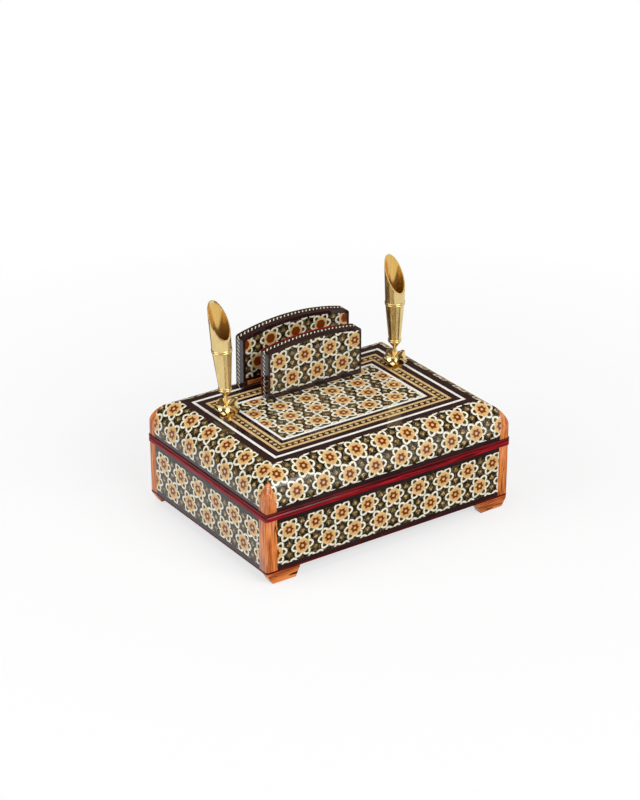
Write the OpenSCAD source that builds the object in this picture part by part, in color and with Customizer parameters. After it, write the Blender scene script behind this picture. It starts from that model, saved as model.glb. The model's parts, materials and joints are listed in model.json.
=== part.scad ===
// Marquetry desk box: a lidded wooden box on bracket feet, with a letter rack
// and two swivelling brass pen funnels on its lid.
// Millimetres. X runs along the front, -Y is the front, +Z is up.
// The origin is on the table, under the middle of the box.

/* [Box] */
// Width over the red lips
box_w = 200; // [180:1:240]
// Depth over the red lips
box_d = 146.3; // [135:0.1:180]
// Height of the base, from its underside to the seam
base_h = 41.7; // [34:0.1:60]
// Height of the lid, from the seam to its flat top
lid_h = 28.3; // [26:0.1:34]
// Radius of the rounded edges of the corner posts
corner_r = 2; // [1:0.1:8.5]

/* [Walls] */
// Thickness of the core boards
wall_t = 7.6; // [7.6:0.1:10]
// Thickness of the marquetry sheets and the bands beside them
veneer_t = 1; // [0.6:0.1:1.2]
// Full thickness of the bottom board
bottom_t = 5; // [3:0.1:8]
// Thickness of the bottom board's edge, where the walls stand on it
bottom_edge_t = 1.2; // [0.8:0.1:2.5]
// Thickness of the liner boards inside the walls
liner_t = 2; // [1.5:0.1:3]
// How far the liner rises past the seam to guide the lid
liner_rise = 1.7; // [1:0.1:1.9]
// Gap between the liner and the lid's lip
liner_gap = 0.3; // [0.2:0.05:0.6]

/* [Lips and bands] */
// How far the red lips stand out past the faces
lip_overhang = 0.6; // [0.2:0.1:1.2]
// Height of the base's lip
base_lip_h = 3; // [2.6:0.1:4]
// Height of the lid's lip
lid_lip_h = 2.2; // [2.1:0.1:3]
// Bevel of the two lips that makes the shadow line at the seam
lip_bevel = 0.6; // [0.2:0.1:1]
// Radius of the lips' corners
lip_corner_r = 2.4; // [0.5:0.1:3]
// Height of the dark band under the base's lip
base_top_band_h = 3.4; // [2:0.1:5]
// Height of the dark band above the base's underside
base_low_band_h = 3.2; // [2:0.1:5]
// Height of the dark band above the lid's lip
lid_band_h = 3; // [2:0.1:4]

/* [Lid] */
// Radius of the curve over the lid's sides
curve_r = 20; // [18:0.5:24]
// How far the curve reaches in from the face to the flat top
curve_run = 16; // [13:0.5:17]
// Depth of the side mouldings from the face
moulding_d = 17; // [17:0.5:22]
// Thickness of the top board
top_t = 6; // [5:0.1:8]
// Width that the corner posts taper to at the height of the flat top
lid_post_top_w = 5.4; // [3:0.1:8]

/* [Top inlay] */
// Width of the dark band along the edge of the top
outer_band_w = 5.5; // [3:0.1:8]
// Width of the outer white line
outer_line_w = 2.2; // [1:0.1:3]
// Width of the dark band inside the outer white line
middle_band_w = 4.7; // [2:0.1:7]
// Width of the marquetry band
khatam_band_w = 8.6; // [5:0.1:11]
// Width of the dark band inside the marquetry band
inner_band_w = 3.2; // [2:0.1:5]
// Width of the inner white line
inner_line_w = 2; // [1:0.1:3]

/* [Feet] */
// Height of the bracket feet
foot_h = 7.8; // [5:0.1:15]
// Length of a foot along the front or back at its top
foot_top_run = 26.5; // [20:0.5:40]
// Distance of a foot's inner end from the corner at the table
foot_low_run = 22.8; // [15:0.1:35]
// How far a foot's outer end slants in from the corner at the table
foot_slant = 4.8; // [1:0.1:8]
// Thickness of a foot from the face inwards
foot_t = 6.5; // [5:0.1:12]

/* [Hinges] */
// Distance of each hinge from the middle of the back
hinge_x = 55; // [30:1:70]
// Length of a hinge
hinge_len = 22; // [16:0.5:30]
// Radius of the hinge barrel
barrel_r = 1.5; // [1.3:0.05:1.6]
// Radius of the hinge pin
pin_r = 0.7; // [0.5:0.05:0.9]
// Thickness of a hinge leaf
leaf_t = 0.8; // [0.6:0.1:1]
// Width of a hinge leaf from the pin
leaf_w = 6.2; // [5.5:0.1:6.5]
// Angle to which the bevelled back edges let the lid open, halved
stop_bevel = 50; // [45:1:55]
// Shank radius of the hinge screws
hinge_screw_r = 0.75; // [0.5:0.05:1]
// Head radius of the hinge screws
hinge_screw_head_r = 1.4; // [1.2:0.05:1.6]
// Height of their countersunk heads
hinge_screw_head_h = 0.6; // [0.4:0.05:0.75]
// Length of the hinge screws
hinge_screw_len = 7; // [5:0.5:10]
// Distance between the two screws of a leaf
hinge_screw_pitch = 14; // [10:0.5:18]

/* [Letter rack] */
// Place of the rack's middle, to the right of the box's middle
rack_x = 5.5; // [-10:0.5:10]
// Distance of the rack's back face from the back edge of the flat top
rack_margin = 0.75; // [0.2:0.05:6]
// Gap between the two plates
rack_gap = 13.4; // [8:0.1:13.8]
// Thickness of a plate
rack_t = 9.2; // [7:0.1:9.5]
// Width of the front plate
front_plate_w = 77; // [60:0.5:84]
// Height of the front plate at its ends
front_plate_h = 34.2; // [20:0.1:50]
// Rise of the front plate's arched top
front_plate_rise = 3.8; // [2:0.1:8]
// Width of the back plate
back_plate_w = 88; // [60:0.5:90]
// Height of the back plate at its ends
back_plate_h = 38; // [20:0.1:60]
// Rise of the back plate's arched top
back_plate_rise = 6; // [2:0.1:10]
// Radius of the plates' shoulders
shoulder_r = 2.5; // [1.5:0.1:4]
// Thickness of the edging round a plate
edging_t = 0.8; // [0.5:0.1:1.2]
// Radius of the dowels under the plates
dowel_r = 1.5; // [1:0.1:2.5]
// How far a dowel goes into its plate
dowel_rise = 8; // [5:0.5:14]
// How far a dowel goes into the top board
dowel_sink = 4; // [2:0.5:4.5]
// Distance between a plate's two dowels
dowel_pitch = 50; // [30:1:56]

/* [Pen holders] */
// Distance of each cup's middle from the end edge of the flat top
cup_end_inset = 13.9; // [12:0.1:17]
// Distance of each cup's middle from the back edge of the flat top
cup_back_inset = 37; // [28:0.05:56]
// Half width of a cup across its petal tips
cup_tip = 8; // [7.5:0.1:9]
// Height of a cup to its petal tips
cup_h = 10.2; // [9.6:0.1:12]
// Radius of the petals' outward curve
petal_r = 11; // [10.5:0.1:12]
// Radius of the scoops that part the petals
scoop_r = 7.6; // [6.5:0.1:7.8]
// How far the scoops' centres lie outside the petal tips
scoop_out = 0.6; // [0.3:0.1:1]
// How far the scoops' centres lie above the petal tips
scoop_up = 1.4; // [1:0.1:2]
// Thickness of the petals at their tips
petal_t = 1.2; // [0.8:0.1:2]
// Radius of the seat under the ball
seat_r = 2.3; // [1.8:0.05:2.4]
// Radius of the hole in the seat
seat_hole_r = 1; // [0.6:0.1:1.4]
// Thickness of a cup's floor under the seat
cup_floor_t = 2.2; // [2:0.1:2.4]
// Radius of a cup's foot
cup_foot_r = 5.4; // [4.5:0.1:6.5]
// Height of a cup's foot
cup_foot_h = 1.1; // [0.8:0.1:1.8]
// Radius of the swivel ball
ball_r = 3; // [2.6:0.05:3.2]
// Height of the ball's centre above the lid
ball_z = 6; // [5.8:0.1:6.2]
// Radius of the stem
stem_r = 1.4; // [1:0.05:1.6]
// Height of the funnel's end above the ball's centre
stem_len = 9.5; // [8:0.1:16]
// How far the stem goes into the funnel
stem_grip = 5; // [3:0.5:6]
// Largest lean of a funnel from upright
lean_max = 25; // [15:1:28]
// Lean of the left funnel at rest
left_lean = 3.5; // [0:0.5:10]
// Lean of the right funnel at rest
right_lean = 0.5; // [0:0.5:10]
// Direction of both leans, from +X towards +Y
lean_azimuth = 145; // [0:5:355]
// Direction that the left funnel's mouth faces
left_mouth = -85; // [-180:5:180]
// Direction that the right funnel's mouth faces
right_mouth = -85; // [-180:5:180]
// Shank radius of the screws under the cups
cup_screw_r = 1.25; // [0.8:0.05:1.6]
// Head radius of the screws under the cups
cup_screw_head_r = 2.6; // [2:0.1:3.5]
// Head height of the screws under the cups
cup_screw_head_h = 1.6; // [1:0.1:2.5]
// How far these screws go into a cup
cup_screw_bite = 1.6; // [1:0.1:1.8]

/* [Pen funnels] */
// Height of a funnel
funnel_h = 66.5; // [60:0.5:90]
// Height of its end cone
end_cone_h = 3.5; // [2:0.1:6]
// Radius of the tube above the end cone
funnel_low_r = 4.3; // [3.6:0.1:5]
// Height of the middle rings
middle_ring_z = 33; // [28:0.1:38]
// Radius of the tube at the middle rings
funnel_mid_r = 6.7; // [5.5:0.1:7.5]
// Radius of the tube at its mouth
funnel_top_r = 7.5; // [6.5:0.1:9]
// Wall of the tube
funnel_wall = 0.8; // [0.6:0.05:1.2]
// Height of the mouth's low side
mouth_low_z = 40.5; // [38:0.5:60]
// Thickness of each raised ring
ring_t = 1.3; // [0.8:0.1:2]
// How far the rings stand out
ring_proud = 0.4; // [0.2:0.05:0.8]
// Height of the bore's floor
bore_floor_z = 8; // [6.5:0.5:14]

/* [Clearances] */
// Radial clearance of screws, dowels and stems in their holes
fit_gap = 0.05; // [0.02:0.01:0.1]
// Clearance of moving metal parts
run_gap = 0.12; // [0.1:0.01:0.2]
// Clearance of the hinge barrels in the lips
hinge_gap = 0.3; // [0.2:0.05:0.4]
// Thickness of the glue line in the mitres
glue_line = 0.04; // [0.02:0.01:0.1]

/* [Hidden] */
$fn = 96;
// Reach of shapes that cut right through, and how far others cut past a face
far = 400;
cut = 1;
seam_z = foot_h + base_h;
top_z = seam_z + lid_h;
// Half sizes of the faces, inside the lips' overhang
half_w = box_w / 2 - lip_overhang;
half_d = box_d / 2 - lip_overhang;
// The posts are as thick as a wall with its marquetry
post_w = wall_t + veneer_t;
wall_in = lip_overhang + post_w;
// The flat on the edge of a lid post, as deep as the rounding of the base's posts
post_flat = (2 - sqrt(2)) * corner_r;
wall_low_z = foot_h + bottom_edge_t;
wall_top_z = seam_z - base_lip_h;
lid_low_z = seam_z + lid_lip_h;
// Centre height of the lid's curve, so that it ends at the flat top
curve_z = top_z - sqrt(curve_r * curve_r - (curve_r - curve_run) * (curve_r - curve_run));
skin_z = top_z - veneer_t;
// Hinge axis, at the seam and a barrel's radius inside the back lip's edge
hinge_y = box_d / 2 - barrel_r;
knuckle_len = (hinge_len - 2 * run_gap) / 3;
leaf_gap = run_gap / 2;
// Middle of the barrel's wall, where the leaf joins it
barrel_mid_r = (pin_r + fit_gap + barrel_r) / 2;
screw_y = hinge_y - (barrel_r + hinge_gap + leaf_w) / 2;
// Swivel
socket_r = ball_r + run_gap;
seat_top_z = ball_z - sqrt(ball_r * ball_r - seat_r * seat_r) - run_gap;
// The socket's opening, which lets the stem lean, and the flare above it
open_angle = lean_max + asin((stem_r + run_gap) / socket_r);
neck_z = ball_z + socket_r * cos(open_angle);
neck_r = socket_r * sin(open_angle);
flare_r = cup_tip - petal_t;
flare_slope = (flare_r - neck_r) / (cup_h - neck_z);
// Half sizes of the flat top, and its inlay's lines from the edge inwards
edge_w = half_w - curve_run;
edge_d = half_d - curve_run;
// Rack and cups keep their distance from the edges of the flat top
rack_back_y = edge_d - rack_margin - rack_t;
rack_front_y = rack_back_y - rack_gap - rack_t;
cup_x = edge_w - cup_end_inset;
cup_y = edge_d - cup_back_inset;
inlay = [0, outer_band_w, outer_band_w + outer_line_w,
         outer_band_w + outer_line_w + middle_band_w,
         outer_band_w + outer_line_w + middle_band_w + khatam_band_w,
         outer_band_w + outer_line_w + middle_band_w + khatam_band_w + inner_band_w,
         outer_band_w + outer_line_w + middle_band_w + khatam_band_w + inner_band_w + inner_line_w];

core_wood = "#a8743c";
stained_wood = "#c4622a";
dark_wood = "#33201a";
marquetry = "#b39a5c";
white_line = "#f2ece0";
red_lacquer = "#b3202c";
brass = "#d4a94c";

// Shapes that several pieces share

// A rectangle with rounded corners, centred
module rounded_plan(w, d, r) {
    square([w - 2 * r, d], center = true);
    square([w, d - 2 * r], center = true);
    for (x = [-1, 1], y = [-1, 1])
        translate([x * (w / 2 - r), y * (d / 2 - r)]) circle(r);
}

// The upright prism inside the box's rounded faces
module faces_prism() {
    linear_extrude(far) rounded_plan(2 * half_w, 2 * half_d, corner_r);
}

// A strip along one side of the box, with mitred ends: 0 front, 1 right, 2 back, 3 left.
// Its section is drawn with x inwards from a line that lies inset from the lips' edge.
module mitred_strip(side, inset, depth) {
    long = side % 2 == 0;
    half = (long ? box_w : box_d) / 2 - inset - glue_line / 2;
    reach = (long ? box_d : box_w) / 2 - inset;
    rotate([0, 0, 90 * side]) intersection() {
        translate([-half, -reach, 0]) rotate([90, 0, 90]) linear_extrude(2 * half) children();
        linear_extrude(far) polygon([[-half, -reach], [half, -reach],
                                     [half - depth, depth - reach], [depth - half, depth - reach]]);
    }
}

// A flat board or sheet on one side between the corner posts, from the face inwards
module between_posts(side, from, thick, low, high) {
    long = side % 2 == 0;
    half = (long ? half_w : half_d) - post_w;
    reach = long ? half_d : half_w;
    rotate([0, 0, 90 * side])
        translate([-half, from - reach, low]) cube([2 * half, thick, high - low]);
}

// A flat frame on the lid's top, between two of its inlay lines
module top_frame(i) {
    translate([0, 0, skin_z]) linear_extrude(veneer_t) difference() {
        square([2 * (edge_w - inlay[i]), 2 * (edge_d - inlay[i])], center = true);
        square([2 * (edge_w - inlay[i + 1]), 2 * (edge_d - inlay[i + 1])], center = true);
    }
}

// Places of the corners, hinges, hinge screws, dowels and cups

// At a corner, with +X and +Y running inwards along the faces
module at_corner(x, y) {
    translate([x * half_w, y * half_d, 0])
        mirror([x > 0 ? 1 : 0, 0, 0]) mirror([0, y > 0 ? 1 : 0, 0]) children();
}

module at_hinges() {
    for (x = [-1, 1]) translate([x * hinge_x, hinge_y, seam_z]) children();
}

module at_hinge_screws() {
    for (h = [-1, 1], x = [-1, 1])
        translate([h * hinge_x + x * hinge_screw_pitch / 2, screw_y, seam_z]) children();
}

module at_dowels() {
    for (y = [rack_front_y, rack_back_y], x = [-1, 1])
        translate([rack_x + x * dowel_pitch / 2, y + rack_t / 2, top_z]) children();
}

module at_cup(side) {
    translate([side * cup_x, cup_y, top_z]) children();
}

// Holes for the dowels and the cup screws
module top_holes() {
    at_dowels() translate([0, 0, -dowel_sink])
        cylinder(r = dowel_r + fit_gap, h = dowel_sink + dowel_rise);
    for (side = [-1, 1]) at_cup(side) translate([0, 0, -far / 4])
        cylinder(r = cup_screw_r + fit_gap, h = far / 4 + cup_screw_bite);
}

// Holes for the hinge screws, below the seam or above it
module hinge_screw_holes(up) {
    at_hinge_screws() mirror([0, 0, up ? 0 : 1])
        cylinder(r = hinge_screw_r + fit_gap, h = hinge_screw_len);
}

// Base: bottom, walls, posts and feet

module bottom_board() {
    color(red_lacquer) {
        translate([0, 0, foot_h]) linear_extrude(bottom_edge_t)
            rounded_plan(2 * half_w, 2 * half_d, corner_r);
        translate([post_w - half_w, post_w - half_d, foot_h])
            cube([2 * (half_w - post_w), 2 * (half_d - post_w), bottom_t]);
    }
}

module base_board(side) {
    color(core_wood) difference() {
        between_posts(side, veneer_t, wall_t, wall_low_z, wall_top_z);
        if (side == 2) hinge_screw_holes(false);
    }
}

module base_front_board() { base_board(0); }
module base_right_board() { base_board(1); }
module base_back_board() { base_board(2); }
module base_left_board() { base_board(3); }

module corner_post(x, y) {
    color(stained_wood) intersection() {
        faces_prism();
        translate([x * (half_w - post_w / 2), y * (half_d - post_w / 2), wall_low_z])
            linear_extrude(wall_top_z - wall_low_z) square(post_w, center = true);
    }
}

module front_left_post() { corner_post(-1, -1); }
module front_right_post() { corner_post(1, -1); }
module back_left_post() { corner_post(-1, 1); }
module back_right_post() { corner_post(1, 1); }

// A bracket foot along the front or back from the corner, with both ends cut on a slant
module bracket_foot(x, y) {
    color(stained_wood) intersection() {
        faces_prism();
        at_corner(x, y) translate([0, foot_t, 0]) rotate([90, 0, 0]) linear_extrude(foot_t)
            polygon([[foot_slant, 0], [foot_low_run, 0], [foot_top_run, foot_h], [0, foot_h]]);
    }
}

module front_left_foot() { bracket_foot(-1, -1); }
module front_right_foot() { bracket_foot(1, -1); }
module back_left_foot() { bracket_foot(-1, 1); }
module back_right_foot() { bracket_foot(1, 1); }

// Base: marquetry, bands, lip and liner

module base_khatam(side) {
    color(marquetry)
        between_posts(side, 0, veneer_t, wall_low_z + base_low_band_h, wall_top_z - base_top_band_h);
}

module base_front_khatam() { base_khatam(0); }
module base_right_khatam() { base_khatam(1); }
module base_back_khatam() { base_khatam(2); }
module base_left_khatam() { base_khatam(3); }

module base_bands() {
    color(dark_wood) for (side = [0 : 3]) {
        between_posts(side, 0, veneer_t, wall_low_z, wall_low_z + base_low_band_h);
        between_posts(side, 0, veneer_t, wall_top_z - base_top_band_h, wall_top_z);
    }
}

// Section of a lip, upwards from the seam. Its bevel makes the shadow line,
// and the back lip has the stop slope in its place.
module lip_section(side, depth, high) {
    difference() {
        square([depth, high]);
        if (side != 2) polygon([[lip_bevel, 0], [-lip_bevel, 2 * lip_bevel], [-lip_bevel, 0]]);
    }
}

// The slope behind the hinge axis that stops the open lid, along the back lip and the side lips' ends
module stop_slope(up) {
    translate([-far / 2, hinge_y, seam_z]) mirror([0, 0, up ? 0 : 1]) rotate([90, 0, 90])
        linear_extrude(far)
            polygon([[0, 0], [2 * barrel_r, 0], [2 * barrel_r, 2 * barrel_r * tan(stop_bevel)]]);
}

// Room in the back lips for the hinge barrels, and for the leaves on one side of the seam
module hinge_room(up) {
    at_hinges() mirror([0, 0, up ? 0 : 1]) translate([-hinge_len / 2 - hinge_gap, 0, 0]) {
        translate([0, -barrel_r - hinge_gap, 0])
            cube([hinge_len + 2 * hinge_gap, 3 * barrel_r, barrel_r + hinge_gap]);
        translate([0, -leaf_w - hinge_gap, 0])
            cube([hinge_len + 2 * hinge_gap, leaf_w + hinge_gap, leaf_gap + leaf_t]);
    }
}

module lip_frame(up, depth, high) {
    color(red_lacquer) for (side = [0 : 3]) difference() {
        intersection() {
            translate([0, 0, seam_z]) mirror([0, 0, up ? 0 : 1])
                mitred_strip(side, 0, depth) lip_section(side, depth, high);
            linear_extrude(far) rounded_plan(box_w, box_d, lip_corner_r);
        }
        stop_slope(up);
        if (side == 2) hinge_room(up);
        if (side == 2) hinge_screw_holes(up);
    }
}

module base_lip() { lip_frame(false, wall_in, base_lip_h); }
module lid_lip() { lip_frame(true, wall_in - liner_gap, lid_lip_h); }

module liner() {
    color(red_lacquer) for (side = [0 : 3])
        mitred_strip(side, wall_in, liner_t) translate([0, foot_h + bottom_t])
            square([liner_t, base_h - bottom_t + liner_rise]);
}

// Hinges

// One leaf with its knuckles: the base's leaf has the outer two, the lid's leaf the middle one
module hinge_leaf(up) {
    own = up ? [0] : [-1, 1];
    pitch = knuckle_len + run_gap;
    difference() {
        union() {
            mirror([0, 0, up ? 0 : 1]) translate([-hinge_len / 2, -leaf_w, leaf_gap])
                cube([hinge_len, leaf_w - barrel_r - hinge_gap, leaf_t]);
            for (k = own) translate([k * pitch, 0, 0]) {
                mirror([0, 0, up ? 0 : 1]) translate([run_gap - knuckle_len / 2, -leaf_w, leaf_gap])
                    cube([knuckle_len - 2 * run_gap, leaf_w - barrel_mid_r, leaf_t]);
                rotate([0, 90, 0]) cylinder(r = barrel_r, h = knuckle_len, center = true);
            }
        }
        rotate([0, 90, 0]) cylinder(r = pin_r + fit_gap, h = 2 * hinge_len, center = true);
    }
}

module hinge_leaves(up) {
    color(brass) difference() {
        at_hinges() hinge_leaf(up);
        at_hinge_screws() mirror([0, 0, up ? 0 : 1]) hinge_screw(fit_gap);
    }
}

module hinge_base_leaves() { hinge_leaves(false); }
module hinge_lid_leaves() { hinge_leaves(true); }

module hinge_pins() {
    color(brass) at_hinges() rotate([0, 90, 0]) cylinder(r = pin_r, h = hinge_len, center = true);
}

// A countersunk screw that points up, with its head flush in the leaf.
// With a gap it is its own hole, which cuts past the leaf's face.
module hinge_screw(gap) {
    past = gap > 0 ? cut : 0;
    head_r = hinge_screw_head_r + gap;
    shank_r = hinge_screw_r + gap;
    translate([0, 0, leaf_gap]) rotate_extrude()
        polygon([[0, -past], [head_r, -past], [head_r, 0], [shank_r, hinge_screw_head_h],
                 [shank_r, hinge_screw_len - leaf_gap], [0, hinge_screw_len - leaf_gap]]);
}

module hinge_base_screws() {
    color(brass) at_hinge_screws() mirror([0, 0, 1]) hinge_screw(0);
}

module hinge_lid_screws() {
    color(brass) at_hinge_screws() hinge_screw(0);
}

// Lid: curved sides, corner posts and marquetry

// Everything inside the lid's curve at a depth under its face, with x inwards from the face
module curve_section(under) {
    translate([under, lid_low_z]) square([curve_r - under, curve_z - lid_low_z]);
    intersection() {
        translate([curve_r, curve_z]) circle(curve_r - under);
        translate([under, curve_z - cut]) square([curve_r - under, curve_r + cut]);
    }
}

// The tapering square prism that a lid post is cut from
module post_prism(x, y) {
    module taper() {
        polygon([[0, lid_low_z], [post_w, lid_low_z], [lid_post_top_w, top_z], [0, top_z]]);
    }
    at_corner(x, y) intersection() {
        translate([0, 2 * post_w, 0]) rotate([90, 0, 0]) linear_extrude(2 * post_w) taper();
        rotate([90, 0, 90]) linear_extrude(2 * post_w) taper();
    }
}

module post_prisms() {
    for (x = [-1, 1], y = [-1, 1]) post_prism(x, y);
}

module lid_corner_posts() {
    color(stained_wood) for (x = [-1, 1], y = [-1, 1]) intersection() {
        post_prism(x, y);
        at_corner(x, y) linear_extrude(far)
            polygon([[post_flat, 0], [2 * post_w, 0], [2 * post_w, 2 * post_w],
                     [0, 2 * post_w], [0, post_flat]]);
        rotate([0, 0, y < 0 ? 0 : 180]) translate([-half_w, -half_d, 0])
            rotate([90, 0, 90]) linear_extrude(2 * half_w) curve_section(0);
        rotate([0, 0, x < 0 ? -90 : 90]) translate([-half_d, -half_w, 0])
            rotate([90, 0, 90]) linear_extrude(2 * half_d) curve_section(0);
    }
}

module lid_moulding(side) {
    color(core_wood) difference() {
        mitred_strip(side, lip_overhang, moulding_d) intersection() {
            curve_section(veneer_t);
            square([moulding_d, skin_z]);
        }
        post_prisms();
        if (side == 2) hinge_screw_holes(true);
    }
}

module lid_front_moulding() { lid_moulding(0); }
module lid_right_moulding() { lid_moulding(1); }
module lid_back_moulding() { lid_moulding(2); }
module lid_left_moulding() { lid_moulding(3); }

module lid_khatam(side) {
    color(marquetry) difference() {
        mitred_strip(side, lip_overhang, curve_run) intersection() {
            difference() {
                curve_section(0);
                curve_section(veneer_t);
            }
            translate([0, lid_low_z + lid_band_h]) square([curve_run, lid_h]);
        }
        post_prisms();
    }
}

module lid_front_khatam() { lid_khatam(0); }
module lid_right_khatam() { lid_khatam(1); }
module lid_back_khatam() { lid_khatam(2); }
module lid_left_khatam() { lid_khatam(3); }

module lid_bands() {
    color(dark_wood) difference() {
        for (side = [0 : 3]) mitred_strip(side, lip_overhang, veneer_t)
            translate([0, lid_low_z]) square([veneer_t, lid_band_h]);
        post_prisms();
    }
}

// Lid: top board and its inlay

module top_board() {
    color(core_wood) difference() {
        translate([moulding_d - half_w, moulding_d - half_d, skin_z - top_t])
            cube([2 * (half_w - moulding_d), 2 * (half_d - moulding_d), top_t]);
        top_holes();
    }
}

module top_dark_bands() {
    color(dark_wood) difference() {
        for (i = [0, 2, 4]) top_frame(i);
        top_holes();
    }
}

module top_white_lines() {
    color(white_line) difference() {
        for (i = [1, 5]) top_frame(i);
        top_holes();
    }
}

module top_khatam_band() {
    color(marquetry) difference() {
        for (side = [0 : 3]) mitred_strip(side, lip_overhang + curve_run + inlay[3], khatam_band_w)
            translate([0, skin_z]) square([khatam_band_w, veneer_t]);
        top_holes();
    }
}

module top_centre_panel() {
    color(marquetry) difference() {
        translate([inlay[6] - edge_w, inlay[6] - edge_d, skin_z])
            cube([2 * (edge_w - inlay[6]), 2 * (edge_d - inlay[6]), veneer_t]);
        top_holes();
    }
}

// Letter rack

// Outline of a plate with an arched top and round shoulders, drawn in by a margin at its ends and top
module plate_outline(w, h, rise, margin) {
    arch_r = (w * w / 4 + rise * rise) / (2 * rise);
    arch_z = h + rise - arch_r;
    shoulder_x = w / 2 - shoulder_r;
    shoulder_z = arch_z + sqrt((arch_r - shoulder_r) * (arch_r - shoulder_r) - shoulder_x * shoulder_x);
    // Where the shoulders touch the arch
    touch_x = shoulder_x * (arch_r - margin) / (arch_r - shoulder_r);
    translate([margin - w / 2, 0]) square([w - 2 * margin, shoulder_z]);
    intersection() {
        translate([0, arch_z]) circle(arch_r - margin);
        translate([-touch_x, 0]) square([2 * touch_x, h + rise]);
    }
    for (x = [-1, 1]) translate([x * shoulder_x, shoulder_z]) circle(shoulder_r - margin);
}

// A slab of a plate between two depths behind its front face
module plate_slab(front_y, from, thick) {
    translate([rack_x, front_y + from + thick, top_z])
        rotate([90, 0, 0]) linear_extrude(thick) children();
}

module front_outline(margin) { plate_outline(front_plate_w, front_plate_h, front_plate_rise, margin); }
module back_outline(margin) { plate_outline(back_plate_w, back_plate_h, back_plate_rise, margin); }

module rack_front_board() {
    color(core_wood) difference() {
        plate_slab(rack_front_y, veneer_t, rack_t - 2 * veneer_t) front_outline(edging_t);
        top_holes();
    }
}

module rack_back_board() {
    color(core_wood) difference() {
        plate_slab(rack_back_y, veneer_t, rack_t - 2 * veneer_t) back_outline(edging_t);
        top_holes();
    }
}

module rack_front_facings() {
    color(marquetry) for (from = [0, rack_t - veneer_t])
        plate_slab(rack_front_y, from, veneer_t) front_outline(edging_t);
}

module rack_back_facings() {
    color(marquetry) for (from = [0, rack_t - veneer_t])
        plate_slab(rack_back_y, from, veneer_t) back_outline(edging_t);
}

module rack_front_edging() {
    color(dark_wood) plate_slab(rack_front_y, 0, rack_t) difference() {
        front_outline(0);
        front_outline(edging_t);
    }
}

module rack_back_edging() {
    color(dark_wood) plate_slab(rack_back_y, 0, rack_t) difference() {
        back_outline(0);
        back_outline(edging_t);
    }
}

module rack_dowels() {
    color(core_wood) at_dowels() translate([0, 0, -dowel_sink])
        cylinder(r = dowel_r, h = dowel_sink + dowel_rise);
}

// Pen holders

// The cup's bowl seen from one side, as a prism
module bowl_prism() {
    rotate([90, 0, 0]) linear_extrude(4 * cup_tip, center = true) intersection() {
        translate([cup_tip - petal_r, cup_h]) circle(petal_r);
        translate([petal_r - cup_tip, cup_h]) circle(petal_r);
        translate([-cup_tip, 0]) square([2 * cup_tip, cup_h]);
    }
}

// A four-petalled cup with a socket that holds the swivel ball
module petal_cup(side) {
    color(brass) at_cup(side) difference() {
        union() {
            cylinder(r = cup_foot_r, h = cup_foot_h);
            intersection() {
                bowl_prism();
                rotate([0, 0, 90]) bowl_prism();
            }
        }
        for (x = [-1, 1], y = [-1, 1])
            translate([x * (cup_tip + scoop_out), y * (cup_tip + scoop_out), cup_h + scoop_up])
                sphere(scoop_r);
        translate([0, 0, ball_z]) sphere(socket_r);
        translate([0, 0, neck_z])
            cylinder(r1 = neck_r, r2 = flare_r + cut * flare_slope, h = cup_h + cut - neck_z);
        translate([0, 0, cup_floor_t]) cylinder(r = seat_r + run_gap, h = ball_z - cup_floor_t);
        translate([0, 0, -cut]) cylinder(r = cup_screw_r + fit_gap, h = cut + cup_screw_bite);
    }
}

module left_petal_cup() { petal_cup(-1); }
module right_petal_cup() { petal_cup(1); }

// Screws from inside the lid that hold the cups
module cup_screws() {
    color(brass) for (side = [-1, 1]) at_cup(side) translate([0, 0, -veneer_t - top_t]) {
        translate([0, 0, -cup_screw_head_h]) cylinder(r = cup_screw_head_r, h = cup_screw_head_h);
        cylinder(r = cup_screw_r, h = veneer_t + top_t + cup_screw_bite);
    }
}

// The dished washer that the ball rests on
module ball_seat(side) {
    color(brass) at_cup(side) difference() {
        translate([0, 0, cup_floor_t]) cylinder(r = seat_r, h = seat_top_z - cup_floor_t);
        translate([0, 0, ball_z]) sphere(socket_r);
        cylinder(r = seat_hole_r, h = ball_z);
    }
}

module left_ball_seat() { ball_seat(-1); }
module right_ball_seat() { ball_seat(1); }

// Leans a funnel and its stem about the ball
module leaning(side) {
    lean = side < 0 ? left_lean : right_lean;
    at_cup(side) translate([0, 0, ball_z])
        rotate(a = lean, v = [-sin(lean_azimuth), cos(lean_azimuth), 0]) children();
}

module ball_stem(side) {
    color(brass) leaning(side) {
        sphere(ball_r);
        cylinder(r = stem_r, h = stem_len + stem_grip);
    }
}

module left_ball_stem() { ball_stem(-1); }
module right_ball_stem() { ball_stem(1); }

// Outer radius of the funnel's tube at a height
function tube_r(z) = lookup(z, [[end_cone_h + 2 * ring_t, funnel_low_r],
                                [middle_ring_z, funnel_mid_r], [funnel_h, funnel_top_r]]);

// Two raised rings round the tube, above a height
module ring_pair(z) {
    for (ring_z = [z + ring_t / 2, z + 3 * ring_t / 2])
        translate([tube_r(ring_z) + ring_proud - ring_t / 2, ring_z]) circle(d = ring_t);
}

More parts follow.
